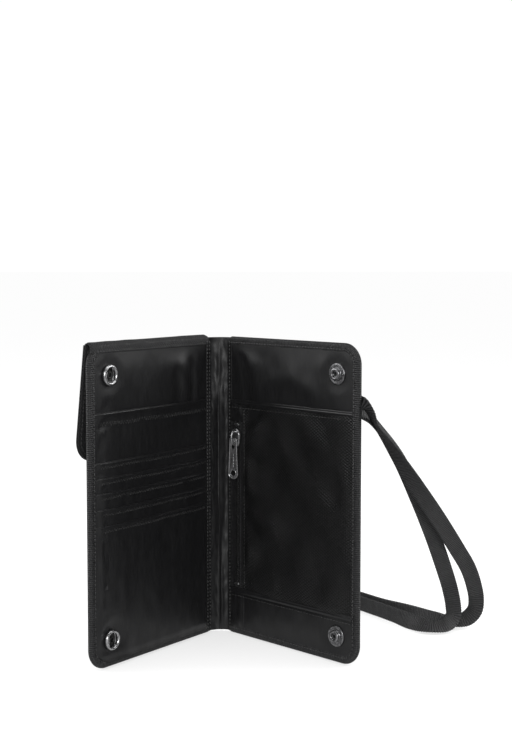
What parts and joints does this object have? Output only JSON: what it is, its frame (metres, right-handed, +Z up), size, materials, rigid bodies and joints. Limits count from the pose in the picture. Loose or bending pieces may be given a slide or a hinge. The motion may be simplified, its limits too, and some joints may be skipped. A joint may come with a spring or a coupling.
{
  "type": "passport holder wallet",
  "caption": "Upright book-style travel wallet with two hinged covers, card slots, a zip pocket, press studs, an outer flap and a neck strap.",
  "frame": {"origin": "under the middle of the standing wallet, on the surface it stands on, neck strap left aside", "axes": "+Z up along the spine; the inside of the open wallet faces -Y; the front cover, with the card slots inside, is on the -X side and the back cover, with the zip pocket and the strap, on the +X side"},
  "size_m": [0.2714, 0.1965, 0.202],
  "materials": {
    "outer_fabric": "coarse matt black polyester weave",
    "satin": "smooth black satin lining with broad soft highlights",
    "binding": "ribbed black tape, stitched",
    "webbing": "ribbed black polypropylene webbing",
    "hook_and_loop": "black hook and loop tape, matt",
    "zip_tape": "fine black twill tape",
    "board": "plain stiffener board, hidden",
    "zip_plastic": "black nylon coil",
    "gunmetal": "dark polished plating",
    "nickel": "bright nickel plating"
  },
  "bodies": {
    "back_cover": {"back_cover_shell": "outer_fabric", "back_cover_board": "board", "back_cover_lining": "satin", "back_cover_binding": "binding", "zip_pocket": "outer_fabric", "zip_head_panel": "satin", "zip_pocket_top_band": "satin", "zip_pocket_base_band": "satin", "zip_tape_spine_side": "zip_tape", "zip_tape_pocket_side": "zip_tape", "zip_coil": "zip_plastic", "zip_top_stop": "gunmetal", "zip_bottom_stop": "gunmetal", "strap_anchor_edge": "binding", "strap_anchor_spine": "binding", "neck_strap": "webbing", "stud_upper": "gunmetal", "stud_lower": "gunmetal", "stud_cap_upper": "gunmetal", "stud_cap_lower": "gunmetal"},
    "spine": {"spine_shell": "outer_fabric", "spine_lining": "satin"},
    "front_cover": {"front_cover_shell": "outer_fabric", "front_cover_board": "board", "front_cover_lining": "satin", "front_cover_binding": "binding", "note_pocket": "satin", "note_pocket_hem": "satin", "card_pocket_1": "satin", "card_pocket_2": "satin", "card_pocket_3": "satin", "card_pocket_4": "satin", "card_pocket_5": "satin", "outer_pocket": "outer_fabric", "closure_loop_strip": "hook_and_loop", "socket_upper": "nickel", "socket_lower": "nickel", "socket_spring_upper": "nickel", "socket_spring_lower": "nickel", "socket_cap_upper": "gunmetal", "socket_cap_lower": "gunmetal"},
    "flap": {"flap_fold": "outer_fabric", "flap_shell": "outer_fabric", "flap_lining": "outer_fabric", "closure_hook_strip": "hook_and_loop"},
    "zip_slider": {"zip_slider": "gunmetal"},
    "zip_pull": {"zip_pull": "gunmetal"}
  },
  "joints": [
    {"name": "spine_fold", "type": "hinge", "parent": "back_cover", "child": "spine", "pos_m": [0.01183, 0.04438, 0.1], "axis": [0, 0, -1], "range_deg": [-40.9, 51]},
    {"name": "front_fold", "type": "hinge", "parent": "spine", "child": "front_cover", "pos_m": [-0.00417, 0.04438, 0.1], "axis": [0, 0, -1], "range_deg": [-40.9, 51]},
    {"name": "flap_hinge", "type": "hinge", "parent": "front_cover", "child": "flap", "pos_m": [-0.04329, -0.00114, 0.2009], "axis": [0.6293, 0.7771, 0], "range_deg": [-4.5, 173.5]},
    {"name": "zip_slide", "type": "slide", "parent": "back_cover", "child": "zip_slider", "axis": [0, 0, -1], "range_m": [-0.0015, 0.091]},
    {"name": "zip_pull_swing", "type": "hinge", "parent": "zip_slider", "child": "zip_pull", "pos_m": [0.01281, 0.03205, 0.1319], "axis": [-0.6293, 0.7771, 0], "range_deg": [-2, 178]}
  ],
  "couplings": [
    {"joint": "front_fold", "follows": "spine_fold", "ratio": 1}
  ]
}
